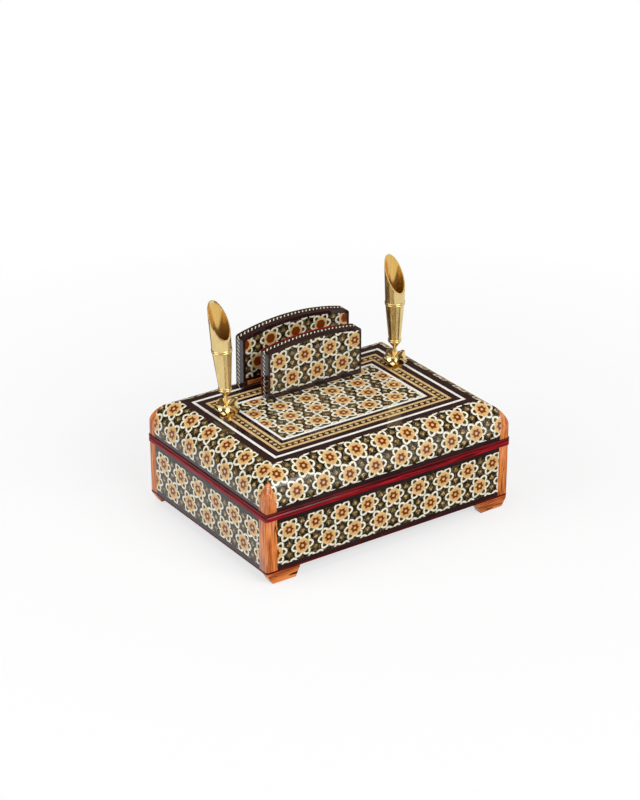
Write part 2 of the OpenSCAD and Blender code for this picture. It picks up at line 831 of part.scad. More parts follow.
// A turned pen funnel, with its mouth cut on a slant that is low at -Y
module pen_funnel() {
    low_r = tube_r(mouth_low_z);
    slant = atan2(funnel_h - mouth_low_z, low_r + funnel_top_r);
    difference() {
        rotate_extrude() {
            polygon([[0, 0], [stem_r + ring_proud, 0], [funnel_low_r, end_cone_h],
                     [funnel_low_r, end_cone_h + 2 * ring_t], [funnel_mid_r, middle_ring_z],
                     [funnel_top_r, funnel_h], [0, funnel_h]]);
            ring_pair(end_cone_h);
            ring_pair(middle_ring_z - ring_t);
        }
        rotate_extrude()
            polygon([[0, bore_floor_z], [tube_r(bore_floor_z) - funnel_wall, bore_floor_z],
                     [funnel_mid_r - funnel_wall, middle_ring_z],
                     [2 * funnel_top_r - funnel_mid_r - funnel_wall, 2 * funnel_h - middle_ring_z],
                     [0, 2 * funnel_h - middle_ring_z]]);
        translate([0, 0, -cut]) cylinder(r = stem_r + fit_gap, h = cut + stem_grip);
        translate([0, -low_r, mouth_low_z]) rotate([slant, 0, 0])
            translate([-funnel_h, -funnel_h, 0]) cube([2 * funnel_h, 3 * funnel_h, funnel_h]);
    }
}

module funnel(side) {
    color(brass) leaning(side) translate([0, 0, stem_len])
        rotate([0, 0, 90 + (side < 0 ? left_mouth : right_mouth)]) pen_funnel();
}

module left_funnel() { funnel(-1); }
module right_funnel() { funnel(1); }

bottom_board();
base_front_board();
base_back_board();
base_left_board();
base_right_board();
front_left_post();
front_right_post();
back_left_post();
back_right_post();
front_left_foot();
front_right_foot();
back_left_foot();
back_right_foot();
base_front_khatam();
base_back_khatam();
base_left_khatam();
base_right_khatam();
base_bands();
base_lip();
liner();
hinge_base_leaves();
hinge_pins();
hinge_base_screws();
hinge_lid_leaves();
hinge_lid_screws();
lid_lip();
lid_bands();
lid_front_moulding();
lid_back_moulding();
lid_left_moulding();
lid_right_moulding();
lid_front_khatam();
lid_back_khatam();
lid_left_khatam();
lid_right_khatam();
lid_corner_posts();
top_board();
top_dark_bands();
top_white_lines();
top_khatam_band();
top_centre_panel();
rack_front_board();
rack_front_facings();
rack_front_edging();
rack_back_board();
rack_back_facings();
rack_back_edging();
rack_dowels();
left_petal_cup();
right_petal_cup();
cup_screws();
left_ball_seat();
right_ball_seat();
left_ball_stem();
right_ball_stem();
left_funnel();
right_funnel();
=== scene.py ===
import json
import math

import bmesh
import bpy
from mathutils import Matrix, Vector

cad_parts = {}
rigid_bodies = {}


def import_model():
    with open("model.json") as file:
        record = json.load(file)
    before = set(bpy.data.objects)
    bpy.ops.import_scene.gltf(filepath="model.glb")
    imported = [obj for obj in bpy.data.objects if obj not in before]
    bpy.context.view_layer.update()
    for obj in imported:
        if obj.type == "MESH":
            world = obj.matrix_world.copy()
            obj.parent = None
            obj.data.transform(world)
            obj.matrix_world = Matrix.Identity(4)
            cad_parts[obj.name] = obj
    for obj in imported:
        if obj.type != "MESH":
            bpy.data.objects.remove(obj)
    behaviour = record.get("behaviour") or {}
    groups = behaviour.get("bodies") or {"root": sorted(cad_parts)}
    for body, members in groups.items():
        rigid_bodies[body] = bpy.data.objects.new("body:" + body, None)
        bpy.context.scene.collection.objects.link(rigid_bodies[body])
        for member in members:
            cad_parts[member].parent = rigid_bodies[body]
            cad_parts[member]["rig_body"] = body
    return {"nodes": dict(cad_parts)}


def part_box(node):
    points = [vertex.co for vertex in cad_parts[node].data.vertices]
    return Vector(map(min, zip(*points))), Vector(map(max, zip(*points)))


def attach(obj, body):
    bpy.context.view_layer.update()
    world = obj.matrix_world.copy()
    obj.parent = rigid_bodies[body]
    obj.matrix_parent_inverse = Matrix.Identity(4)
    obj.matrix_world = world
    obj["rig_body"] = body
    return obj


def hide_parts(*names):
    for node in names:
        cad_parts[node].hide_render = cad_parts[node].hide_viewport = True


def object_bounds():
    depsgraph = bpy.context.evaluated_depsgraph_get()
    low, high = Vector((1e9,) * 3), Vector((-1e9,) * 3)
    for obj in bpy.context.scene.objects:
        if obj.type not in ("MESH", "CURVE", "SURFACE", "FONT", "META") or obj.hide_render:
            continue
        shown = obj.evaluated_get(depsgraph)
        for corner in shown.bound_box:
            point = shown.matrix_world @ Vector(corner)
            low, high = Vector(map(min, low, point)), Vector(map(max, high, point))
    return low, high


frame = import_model()
CAD_BOX = [list(corner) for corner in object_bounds()]

bl_info = {
    "name": "Khatam pen box",
    "version": (1, 0, 0),
    "blender": (4, 5, 0),
    "location": "View3D > Sidebar > Pen box",
    "description": "Gives the CAD frame of a desk pen box its marquetry, lacquer and brass",
    "category": "Object",
}

UP = Vector((0, 0, 1))
# For each side of the box: along the side, and outwards
SIDES = {
    "front": (Vector((1, 0, 0)), Vector((0, -1, 0))),
    "right": (Vector((0, 1, 0)), Vector((1, 0, 0))),
    "back": (Vector((-1, 0, 0)), Vector((0, 1, 0))),
    "left": (Vector((0, -1, 0)), Vector((-1, 0, 0))),
}
HANDS = ("left", "right")
# What the rods and veneers of the marquetry are, in the order of the mesh's stick numbers
STICKS = ("bone", "orange", "red_brown", "olive", "ebony", "tan", "walnut", "red", "beige", "amber")
BONE, ORANGE, RED_BROWN, OLIVE, EBONY, TAN, WALNUT, RED, BEIGE, AMBER = range(len(STICKS))
STICK = "stick"
# Rows in a sheet of flowers, and flowers in a row, enough for each part of the box before it is cut out
FLOWER_ROWS = 6
SIDE_FLOWERS, TOP_FLOWERS, RACK_FLOWERS = 13, 11, 9
# Points closer than this are one point
WELD = 2e-6
# Hair's gap between strips that are glued side by side
SEAM = 1e-5
# How far below its face a point surely lies inside a solid
INSIDE = 1e-5
# Angles between faces: below the first they are one flat, below the second they are shaded as one curve,
# and above the third the edge is sanded round
FLAT, CURVED, SHARP = (math.radians(angle) for angle in (0.3, 30, 35))
# Widths of the patterns in the finishes, in metres
LACQUER_STREAK, BRUSH_STROKE, BONE_CLOUD, BUFF_CLOUD, DIE_STREAK = 0.0016, 0.0012, 0.009, 0.007, 0.0012
# The felt's fluff is drawn coarser than it is, so that it shows
ROLLER_MARK, FELT_FLUFF = 0.05, 0.02
# Sockets of a Mix node for colours, by number because those for plain numbers have the same names
SHARE, FIRST, SECOND, MIXED = 0, 6, 7, 2


def linear(code):
    """An sRGB hex code as linear red, green and blue."""
    parts = [int(code[i:i + 2], 16) / 255 for i in (1, 3, 5)]
    return tuple(c / 12.92 if c <= 0.04045 else ((c + 0.055) / 1.055) ** 2.4 for c in parts)


def amount(name, description, default, unit="NONE", precision=2):
    """A number property that can't be below zero."""
    return bpy.props.FloatProperty(name=name, description=description, default=default,
                                   min=0, unit=unit, precision=precision)


def length(name, description, default):
    """A length property, in metres."""
    return amount(name, description, default, "LENGTH", 5)


def colour(name, description, code):
    """A colour property from an sRGB hex code."""
    return bpy.props.FloatVectorProperty(name=name, description=description, default=linear(code),
                                         subtype="COLOR", min=0, max=1)


def place(name, description, default):
    """A point property, in metres."""
    return bpy.props.FloatVectorProperty(name=name, description=description, default=default,
                                         subtype="TRANSLATION", unit="LENGTH")


class PenBoxSizes(bpy.types.PropertyGroup):
    """Sizes of the marquetry and of the finish."""
    front_pitch: length("Front pitch", "Flower to flower along the front and back", 0.02085)
    front_row: length("Front row step", "Row to row on the front and back", 0.01475)
    side_pitch: length("Side pitch", "Flower to flower along the left and right", 0.022)
    side_row: length("Side row step", "Row to row on the left and right", 0.0157)
    top_pitch: length("Top pitch", "Flower to flower along the centre panel", 0.0214)
    top_row: length("Top row step", "Row to row on the centre panel", 0.016)
    rack_pitch: length("Rack pitch", "Flower to flower along the letter rack", 0.0208)
    rack_row: length("Rack row step", "Row to row on the letter rack", 0.0143)
    chain_pitch: length("Chain pitch", "Bead to bead along the top's chain band", 0.0049)
    edging_pitch: length("Edging pitch", "Bead to bead along the rack's edging", 0.003)
    sheet: length("Sheet thickness", "Thickness of the marquetry", 0.001)
    edging: length("Edging thickness", "Thickness of the rack's edging", 0.0008)
    rod: length("Rod width", "Width of one rod's end in the marquetry", 0.0009)
    curve_radius: length("Lid curve", "Radius of the lid's curved sides", 0.02)
    post_top: length("Post tip width", "Width of the lid's corner posts at the flat top", 0.0054)
    front_rise: length("Front plate rise", "Rise of the front plate's arched top", 0.0038)
    back_rise: length("Back plate rise", "Rise of the back plate's arched top", 0.006)
    shoulder: length("Shoulder radius", "Radius of the plates' shoulders", 0.0025)
    soft_edge: length("Soft edge", "Radius that sanding leaves on a wooden edge", 0.0003)
    ring: length("Growth ring", "Width of a growth ring in the stained wood", 0.0016)


class PenBoxColours(bpy.types.PropertyGroup):
    """Colours of the materials."""
    bone: colour("Bone", "Camel bone of the petals", "#F4EED9")
    orange: colour("Orange wood", "Peach wood round each flower's middle", "#E6C288")
    red_brown: colour("Red-brown wood", "Jujube wood of the small stars", "#7A3612")
    olive: colour("Olive wood", "Dark wood inside the petals", "#54421E")
    ebony: colour("Ebony", "Ground between the flowers", "#0E120D")
    tan: colour("Tan wood", "Small rosettes in the ground", "#7D6B4A")
    walnut: colour("Dark veneer", "Plain dark bands", "#2A171A")
    red: colour("Red lacquer", "Lips, liner and red lines", "#8C0E1B")
    beige: colour("Beige wood", "Stripes of the chain band", "#E2BE86")
    amber: colour("Amber wood", "Apricot wood next to the small stars", "#E0B070")
    line: colour("White line", "White lines round the top", "#F6F4EE")
    stain_pale: colour("Stain, pale", "Early wood of posts and feet", "#EF9149")
    stain_dark: colour("Stain, dark", "Late wood of posts and feet", "#9A4522")
    core: colour("Core wood", "Boards inside the box", "#B5803F")
    brass: colour("Brass", "Polished brass", "#EDD293")
    bore: colour("Bore", "Unpolished brass inside the funnels", "#E6BC6C")


class PenBoxStage(bpy.types.PropertyGroup):
    """Camera, lamps and floor."""
    camera: place("Camera", "Where the camera stands", (-0.86077, -1.23366, 0.7993))
    target: place("Target", "What the camera looks at", (0.02927, 0.05278, 0.0495))
    lens: amount("Lens", "Focal length in millimetres", 110.79, "CAMERA")
    key_power: amount("Key", "Power of the lamp at the left, in watts", 6, "POWER")
    front_power: amount("Front", "Power of the lamp in front, in watts", 21, "POWER")
    top_power: amount("Top", "Power of the lamp above, in watts", 6.5, "POWER")
    sky: amount("Sky", "Strength of the even light from all round", 0.25)
    floor: colour("Floor", "Colour of the floor", "#F4F4F4")


def add(tree, kind, inputs=None, **settings):
    """Adds a node. Its inputs, by name or number, take values or other nodes' sockets."""
    node = tree.nodes.new(kind)
    for key, value in settings.items():
        setattr(node, key, value)
    for key, value in (inputs or {}).items():
        if isinstance(value, bpy.types.NodeSocket):
            tree.links.new(value, node.inputs[key])
        else:
            node.inputs[key].default_value = value
    return node


def shaded(rgb, factor):
    """A linear colour, made darker or paler."""
    return tuple(min(1.0, c * factor) for c in rgb)


def opaque(rgb, factor=1.0):
    """A linear colour, made darker or paler, with its alpha."""
    return shaded(rgb, factor) + (1.0,)


def new_tree(name):
    """The empty node tree of a new material, and the coordinates of the piece that it is on."""
    material = bpy.data.materials.new(name)
    material.use_nodes = True
    tree = material.node_tree
    tree.nodes.clear()
    return tree, add(tree, "ShaderNodeTexCoord").outputs["Object"]


def surface(tree, inputs):
    """Ends a material's tree in a principled shader."""
    shader = add(tree, "ShaderNodeBsdfPrincipled", inputs)
    add(tree, "ShaderNodeOutputMaterial", {"Surface": shader.outputs["BSDF"]})


def clouded(tree, where, width, first, second, band=None, limit=1.0, **noise):
    """Clouds of a width, from one colour to another: the share of the second at each spot, and the colour.
    The share can follow a band of the noise alone, up to a limit."""
    share = add(tree, "ShaderNodeTexNoise", {"Vector": where, "Scale": 1 / width, **noise}).outputs["Fac"]
    if band:
        share = add(tree, "ShaderNodeMapRange", {"Value": share, "From Min": band[0], "From Max": band[1],
                                                 "To Max": limit}).outputs["Result"]
    tint = add(tree, "ShaderNodeMix", {SHARE: share, FIRST: first, SECOND: second}, data_type="RGBA")
    return share, tint.outputs[MIXED]


def rod_ends(name, rgb, mate, rod):
    """Thin rods glued, sawn across and sanded level under clear lacquer.
    To the eye the ends differ, about a third nearer to a mate's colour, and one gloss lies over all."""
    tree, where = new_tree(name)
    cells = add(tree, "ShaderNodeTexVoronoi", {"Vector": where, "Scale": 1 / rod})
    chance = add(tree, "ShaderNodeSeparateColor", {"Color": cells.outputs["Color"]})
    share = add(tree, "ShaderNodeMapRange",
                {"Value": chance.outputs["Red"], "From Min": 0.66, "From Max": 0.82}).outputs["Result"]
    tint = add(tree, "ShaderNodeMix", {SHARE: share, FIRST: opaque(rgb), SECOND: opaque(mate)},
               data_type="RGBA")
    surface(tree, {"Base Color": tint.outputs[MIXED], "Roughness": 0.45, "Specular IOR Level": 0.0,
                   "Coat Weight": 1.0, "Coat Roughness": 0.05})


def grained_wood(name, pale, dark, along, ring, coat, cracks=0.0):
    """Wood planed along the grain, rubbed with stain and coated with clear lacquer.
    To the eye the stain is darker in the late wood, in long streaks under a gloss, with a few cracks."""
    tree, where = new_tree(name)
    squeeze = tuple(0.07 if axis == along else 1.0 for axis in range(3))
    drawn = add(tree, "ShaderNodeMapping", {"Vector": where, "Scale": squeeze}).outputs["Vector"]
    _, body = clouded(tree, drawn, ring, opaque(pale), opaque(dark), (0.4, 0.62),
                      Detail=4.0, Roughness=0.6, Distortion=0.4)
    # Open pores, drawn coarser than real ones so that they show
    _, grain = clouded(tree, drawn, ring / 6, body, opaque(dark, 0.35), (0.62, 0.8), 0.35, Detail=2.0)
    # Cracks along the grain, about seven rings apart, which gape only in some places
    checks = add(tree, "ShaderNodeTexNoise", {"Vector": drawn, "Scale": 0.14 / ring, "Detail": 2.0})
    spread = add(tree, "ShaderNodeTexNoise", {"Vector": where, "Scale": 0.06 / ring, "Detail": 1.0})
    gape = add(tree, "ShaderNodeMapRange", {"Value": spread.outputs["Fac"], "From Min": 0.48,
                                            "From Max": 0.8, "To Max": 0.03 * cracks})
    split = add(tree, "ShaderNodeMath", {0: checks.outputs["Fac"], 1: 0.5, 2: gape.outputs["Result"]},
                operation="COMPARE").outputs[0]
    tint = add(tree, "ShaderNodeMix", {SHARE: split, FIRST: grain, SECOND: opaque(dark, 0.12)},
               data_type="RGBA")
    surface(tree, {"Base Color": tint.outputs[MIXED], "Roughness": 0.42, "Specular IOR Level": 0.0,
                   "Coat Weight": coat, "Coat Roughness": 0.06})


def brushed_lacquer(name, rgb, squeeze=(0.08, 0.08, 1.0)):
    """Red lacquer laid on with a brush in several coats and rubbed down.
    To the eye streaks of deep and bright red run along the strips, and the gloss ripples with them."""
    tree, where = new_tree(name)
    drawn = add(tree, "ShaderNodeMapping", {"Vector": where, "Scale": squeeze}).outputs["Vector"]
    deep, bright = opaque(rgb, 0.3), opaque(rgb, 1.5)
    _, tint = clouded(tree, drawn, LACQUER_STREAK, deep, bright, (0.35, 0.65), Detail=3.0)
    strokes = add(tree, "ShaderNodeTexNoise", {"Vector": drawn, "Scale": 1 / BRUSH_STROKE, "Detail": 2.0})
    ripple = add(tree, "ShaderNodeBump",
                 {"Height": strokes.outputs["Fac"], "Strength": 0.15, "Distance": 0.0002})
    surface(tree, {"Base Color": tint, "Roughness": 0.3, "Specular IOR Level": 0.0, "Coat Weight": 0.5,
                   "Coat Roughness": 0.08, "Coat Normal": ripple.outputs["Normal"]})


def polished_line(name, rgb):
    """A strip of white bone sanded flush and polished.
    To the eye it is almost plain, with faint long clouds."""
    tree, where = new_tree(name)
    _, tint = clouded(tree, where, BONE_CLOUD, opaque(rgb, 0.86), opaque(rgb, 1.05), Detail=2.0)
    surface(tree, {"Base Color": tint, "Roughness": 0.35, "Specular IOR Level": 0.0,
                   "Coat Weight": 0.6, "Coat Roughness": 0.05})


def polished_brass(name, rgb):
    """Brass turned or cast and buffed on a wheel.
    To the eye it mirrors the room, with soft clouds where the buff has left a haze."""
    tree, where = new_tree(name)
    share, tint = clouded(tree, where, BUFF_CLOUD, opaque(rgb, 0.7), opaque(rgb, 1.05), Detail=4.0)
    haze = add(tree, "ShaderNodeMapRange", {"Value": share, "To Min": 0.08, "To Max": 0.24})
    surface(tree, {"Base Color": tint, "Metallic": 1.0, "Roughness": haze.outputs["Result"]})


def drawn_brass(name, rgb):
    """Brass as it comes from the drawing die, not buffed and with a thin skin of oxide, inside the tubes.
    To the eye it is duller and browner, with fine streaks along the tube."""
    tree, where = new_tree(name)
    drawn = add(tree, "ShaderNodeMapping", {"Vector": where, "Scale": (1.0, 1.0, 0.04)}).outputs["Vector"]
    _, tint = clouded(tree, drawn, DIE_STREAK, opaque(rgb, 0.6), opaque(rgb, 1.25), Detail=3.0)
    surface(tree, {"Base Color": tint, "Metallic": 0.85, "Roughness": 0.22})


def palette(scene):
    """The materials by name, made when they are first asked for."""
    if "khatam bone" not in bpy.data.materials:
        hues, sizes = scene.penbox_colours, scene.penbox_sizes
        mates = {"ebony": shaded(hues.tan, 0.8), "olive": hues.ebony, "tan": hues.beige}
        for stick in STICKS:
            if stick not in ("walnut", "red"):
                rgb = getattr(hues, stick)
                rod_ends("khatam " + stick, rgb, mates.get(stick, shaded(rgb, 0.78)), sizes.rod)
        pale, dark = shaded(hues.walnut, 1.3), shaded(hues.walnut, 0.6)
        grained_wood("khatam walnut", pale, dark, 0, sizes.ring, 1.0)
        brushed_lacquer("khatam red", hues.red)
        # A copy of the lips' red lacquer at 0.45 for the lid's lip: the darkening is painted shade, not a
        # different lacquer
        brushed_lacquer("dark red lacquer", shaded(hues.red, 0.45))
        brushed_lacquer("red board lacquer", shaded(hues.red, 0.4), (0.05, 1.0, 1.0))
        polished_line("white line", hues.line)
        pale, dark, core_dark = hues.stain_pale, hues.stain_dark, shaded(hues.core, 0.6)
        for axis, name in enumerate("xyz"):
            grained_wood("stained wood " + name, pale, dark, axis, sizes.ring, 1.0, 1.0)
            grained_wood("core wood " + name, hues.core, core_dark, axis, 2 * sizes.ring, 0.2)
        polished_brass("polished brass", hues.brass)
        drawn_brass("drawn brass", hues.bore)
    return bpy.data.materials


def polar(radius, degrees):
    """A flat point from its distance and direction."""
    turn = math.radians(degrees)
    return Vector((radius * math.cos(turn), radius * math.sin(turn), 0))


def rectangle(x0, y0, x1, y1):
    """The corners of a rectangle, anticlockwise."""
    return [(x0, y0), (x1, y0), (x1, y1), (x0, y1)]


def flower_tile(pitch, row, plain_heart=False):
    """One flower with its share of the dark ground, in the cell of a staggered lattice.
    Its petals point at the six flowers around it and touch those of the rows above and below.
    Round the small star in its middle lie an amber and an orange ring."""
    half = pitch / 2
    reach = math.hypot(half, row) / 2
    lean = math.degrees(math.atan2(row, half))
    aims = [0, lean, 180 - lean, 180, 180 + lean, 360 - lean]
    gaps = [(a + b) / 2 for a, b in zip(aims, aims[1:] + [360])]

    def ring(share, angles, aside=0):
        return [polar(share * reach, a + aside) for a in angles]

    # Rings of points towards the petals' tips and between the petals, as shares of a petal's reach
    heart, body, leaf, tip = (ring(share, aims) for share in (0.12, 0.58, 0.85, 1.0))
    star = ring(0.42 if plain_heart else 0.4, aims)
    star_in = ring(0.38 if plain_heart else 0.27, gaps)
    halo, halo_in = ring(0.48, aims), ring(0.46, gaps)
    waist, notch = ring(0.62, gaps), ring(0.65, gaps)
    # Both sides of each petal, clockwise side first: two points up its outline and two up the leaf inside it
    low, high, foot, shoulder = ([ring(share, aims, -aside), ring(share, aims, aside)]
                                 for share, aside in ((0.81, 23.5), (0.945, 11), (0.6, 16), (0.73, 13)))
    side_y, peak_y = (row * row - half * half) / (2 * row), (row * row + half * half) / (2 * row)
    corners = [Vector((x, y, 0)) for x, y in ((half, side_y), (0, peak_y), (-half, side_y),
                                              (-half, -side_y), (0, -peak_y), (half, -side_y))]
    # Where each petal's direction meets the cell's side; only the petals along the row stop short of it
    ends = [Vector((half, 0, 0)), tip[1], tip[2], Vector((-half, 0, 0)), tip[4], tip[5]]
    # Sizes of the rosette at each corner and of the frame round it, along the cell's sides and inwards
    rosette, rosette_frame = (0.06, 0.06, 0.095), (0.11, 0.11, 0.15)
    faces = [(RED_BROWN if plain_heart else BEIGE, heart)]
    for k in range(6):
        n = (k + 1) % 6
        faces.append((RED_BROWN, [heart[k], star[k], star_in[k], star[n], heart[n]]))
        faces.append((AMBER, [star[k], halo[k], halo_in[k], halo[n], star[n], star_in[k]]))
        faces.append((ORANGE, [halo[k], body[k], foot[1][k], waist[k],
                               foot[0][n], body[n], halo[n], halo_in[k]]))
        inner = [foot[1][k], shoulder[1][k], leaf[k], shoulder[0][k], foot[0][k]]
        faces.append((OLIVE, [body[k], *reversed(inner)]))
        faces.append((BONE, [waist[k - 1], notch[k - 1], low[0][k], high[0][k], tip[k],
                             high[1][k], low[1][k], notch[k], waist[k], *inner]))
        corner = corners[k]
        ways = [(to - corner).normalized() * pitch for to in (ends[k], ends[n], Vector((0, 0, 0)))]
        dot_before, dot_after, dot_inside = (corner + share * way for share, way in zip(rosette, ways))
        before, after, inside = (corner + share * way for share, way in zip(rosette_frame, ways))
        faces.append((TAN, [corner, dot_after, dot_inside, dot_before]))
        faces.append((OLIVE, [dot_before, dot_inside, dot_after, after, inside, before]))
        faces.append((EBONY, [ends[k], before, inside, after, ends[n]] + ([tip[n]] if n % 3 == 0 else [])
                      + [high[0][n], low[0][n], notch[k], low[1][k], high[1][k]]
                      + ([tip[k]] if k % 3 == 0 else [])))
    return faces


def flat_faces(faces):
    """Turns (stick number, (x, y) points) pairs into faces of a tile."""
    return [(stick, [Vector((x, y, 0)) for x, y in points]) for stick, points in faces]


def chain_tile(pitch, width):
    """A bead of the top's chain band on its dark strip, between two beige stripes."""
    end, edge, mid = pitch / 2, width / 2, 0.25 * width
    bead, tall = 0.32 * pitch, 0.75 * mid
    faces = [(BEIGE, [(-bead, 0), (0, -tall), (bead, 0), (0, tall)])]
    for side in (1, -1):
        y = side * mid
        faces.append((EBONY, [(-end, 0), (-bead, 0), (0, side * tall), (bead, 0), (end, 0),
                              (end, y), (-end, y)]))
        faces.append((BEIGE, [(-end, y), (end, y), (end, side * edge), (-end, side * edge)]))
    return flat_faces(faces)


def edging_tile(pitch, bands):
    """A bead of a plate's edging: plain bands of (stick, width), and a row of beads where stick is bone."""
    end, lean, fat = 0.5 * pitch, 0.3 * pitch, 0.14 * pitch
    # Where a slanting bead meets the band below and the band above it
    feet, heads = (-lean - fat, -lean + fat), (lean - fat, lean + fat)
    sticks = [stick for stick, _ in bands]
    faces, low = [], 0
    for i, (stick, width) in enumerate(bands):
        high = low + width
        if stick == BONE:
            faces.append((BONE, [(feet[0], low), (feet[1], low), (heads[1], high), (heads[0], high)]))
            faces.append((EBONY, [(-end, low), (feet[0], low), (heads[0], high), (-end, high)]))
            faces.append((EBONY, [(feet[1], low), (end, low), (end, high), (heads[1], high)]))
        else:
            under = heads if BONE in sticks[:i][-1:] else ()
            over = feet if BONE in sticks[i + 1:i + 2] else ()
            faces.append((stick, [(-end, low), *((x, low) for x in under), (end, low),
                                  (end, high), *((x, high) for x in reversed(over)), (-end, high)]))
        low = high
    return flat_faces(faces)


def weld(bm):
    """Makes points that lie together one point."""
    bmesh.ops.remove_doubles(bm, verts=bm.verts, dist=WELD)


def mesh_of(bm, name):
    """Turns a bmesh into a mesh and frees it."""
    mesh = bpy.data.meshes.new(name)
    bm.to_mesh(mesh)
    bm.free()
    return mesh


def linked(name, data):
    """A new object in the scene."""
    obj = bpy.data.objects.new(name, data)
    bpy.context.scene.collection.objects.link(obj)
    return obj


def tile_object(faces):
    """A flat tile from (stick number, corner points) pairs, with every face upwards."""
    bm = bmesh.new()
    layer = bm.faces.layers.int.new(STICK)
    for stick, points in faces:
        face = bm.faces.new([bm.verts.new(p) for p in points])
        face[layer] = stick
        face.normal_update()
        if face.normal.z < 0:
            face.normal_flip()
    weld(bm)
    return linked("tile", mesh_of(bm, "tile"))


def lattice_tree():
    """The node tree that lays a tile out in rows, every other row half a pitch along.
    It gives each stick its material."""
    if "Khatam sheet" in bpy.data.node_groups:
        return bpy.data.node_groups["Khatam sheet"]
    tree = bpy.data.node_groups.new("Khatam sheet", "GeometryNodeTree")
    for name, kind in (("Tile", "Object"), ("Pitch", "Float"), ("Row step", "Float"),
                       ("Columns", "Int"), ("Rows", "Int")):
        tree.interface.new_socket(name, in_out="INPUT", socket_type="NodeSocket" + kind)
    tree.interface.new_socket("Sheet", in_out="OUTPUT", socket_type="NodeSocketGeometry")
    given = add(tree, "NodeGroupInput").outputs
    spot = add(tree, "ShaderNodeSeparateXYZ", {0: add(tree, "GeometryNodeInputPosition").outputs[0]})
    values = {name: given[name] for name in ("Pitch", "Row step", "Columns", "Rows")}
    values["y"] = spot.outputs["Y"]
    # For each new value: its name, what is done, and the values or numbers that go in
    for name, operation, *terms in (
            ("steps across", "SUBTRACT", "Columns", 1.0),
            ("steps up", "SUBTRACT", "Rows", 1.0),
            ("width", "MULTIPLY", "steps across", "Pitch"),
            ("height", "MULTIPLY", "steps up", "Row step"),
            ("half height", "MULTIPLY", "height", 0.5),
            ("from low", "ADD", "y", "half height"),
            ("row", "DIVIDE", "from low", "Row step"),
            ("whole row", "ROUND", "row"),
            ("odd row", "MODULO", "whole row", 2.0),
            ("half pitch", "MULTIPLY", "Pitch", 0.5),
            ("shift", "MULTIPLY", "odd row", "half pitch")):
        inputs = {i: values.get(term, term) for i, term in enumerate(terms)}
        values[name] = add(tree, "ShaderNodeMath", inputs, operation=operation).outputs[0]
    grid = add(tree, "GeometryNodeMeshGrid", {"Size X": values["width"], "Size Y": values["height"],
                                              "Vertices X": given["Columns"], "Vertices Y": given["Rows"]})
    move = add(tree, "ShaderNodeCombineXYZ", {"X": values["shift"]})
    points = add(tree, "GeometryNodeSetPosition",
                 {"Geometry": grid.outputs["Mesh"], "Offset": move.outputs[0]})
    tile = add(tree, "GeometryNodeObjectInfo", {"Object": given["Tile"]})
    laid = add(tree, "GeometryNodeInstanceOnPoints",
               {"Points": points.outputs[0], "Instance": tile.outputs["Geometry"]})
    sheet = add(tree, "GeometryNodeRealizeInstances", {"Geometry": laid.outputs[0]}).outputs[0]
    number = add(tree, "GeometryNodeInputNamedAttribute", {"Name": STICK}, data_type="INT").outputs[0]
    for i, stick in enumerate(STICKS):
        # A Compare node's whole numbers are its sockets 2 and 3
        same = add(tree, "FunctionNodeCompare", {2: number, 3: i}, data_type="INT", operation="EQUAL")
        wood = bpy.data.materials["khatam " + stick]
        sheet = add(tree, "GeometryNodeSetMaterial", {"Geometry": sheet, "Selection": same.outputs[0],
                                                      "Material": wood}).outputs[0]
    add(tree, "NodeGroupOutput", {"Sheet": sheet})
    return tree


def laid_sheet(faces, pitch, row, columns, rows, middle):
    """The lattice of a tile, with its middle at a point, as a flat, welded bmesh, and its materials."""
    tree, tile = lattice_tree(), tile_object(faces)
    obj = linked("sheet", bpy.data.meshes.new("sheet"))
    modifier = obj.modifiers.new("Lattice", "NODES")
    modifier.node_group = tree
    for name, value in (("Tile", tile), ("Pitch", pitch), ("Row step", row),
                        ("Columns", columns), ("Rows", rows)):
        modifier[tree.interface.items_tree[name].identifier] = value
    graph = bpy.context.evaluated_depsgraph_get()
    flat = bpy.data.meshes.new_from_object(obj.evaluated_get(graph), depsgraph=graph)
    bpy.data.objects.remove(obj)
    bpy.data.objects.remove(tile)
    if not flat.polygons:
        raise RuntimeError("the node tree made no sheet")
    bm = bmesh.new()
    bm.from_mesh(flat)
    weld(bm)
    bmesh.ops.translate(bm, verts=bm.verts, vec=Vector((*middle, 0)))
    return bm, list(flat.materials)


def flower_sheet(pitch, row, columns, at, plain_heart=False):
    """Staggered rows of flowers, with a flower of the fifth row at a point."""
    u, v = at
    faces = flower_tile(pitch, row, plain_heart)
    # The fifth of the six rows is one and a half steps above their middle
    return laid_sheet(faces, pitch, row, columns, FLOWER_ROWS, (u, v - row / 2 - row))


def side_sheet(sizes, side, at):
    """The flat sheet of flowers for a side of the base or of the lid."""
    if side in HANDS:
        return flower_sheet(sizes.side_pitch, sizes.side_row, SIDE_FLOWERS, at)
    return flower_sheet(sizes.front_pitch, sizes.front_row, SIDE_FLOWERS, at)


def span(node, along, outward):
    """How far a node reaches along a side from the middle, and how far out its face is."""
    low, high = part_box(node)
    return max(abs(along.dot(low)), abs(along.dot(high))), max(outward.dot(low), outward.dot(high))


def cut(bm, point, normal, keep_all=False):
    """Cuts along a plane and drops what lies on the side that the normal points to, unless all is kept."""
    bmesh.ops.bisect_plane(bm, geom=bm.verts[:] + bm.edges[:] + bm.faces[:], dist=1e-8,
                           plane_co=point, plane_no=normal.normalized(), clear_outer=not keep_all)


def cut_to_outline(bm, outline):
    """Keeps what lies inside a convex outline of (x, y) points that runs anticlockwise."""
    for (x0, y0), (x1, y1) in zip(outline, outline[1:] + outline[:1]):
        cut(bm, Vector((x0, y0, 0)), Vector((y1 - y0, x0 - x1, 0)))


def score(bm, axis, at):
    """Adds edges to a flat sheet on a straight line across x (axis 0) or y (axis 1)."""
    way = Vector((0, 0, 0))
    way[axis] = 1
    cut(bm, way * at, way, keep_all=True)


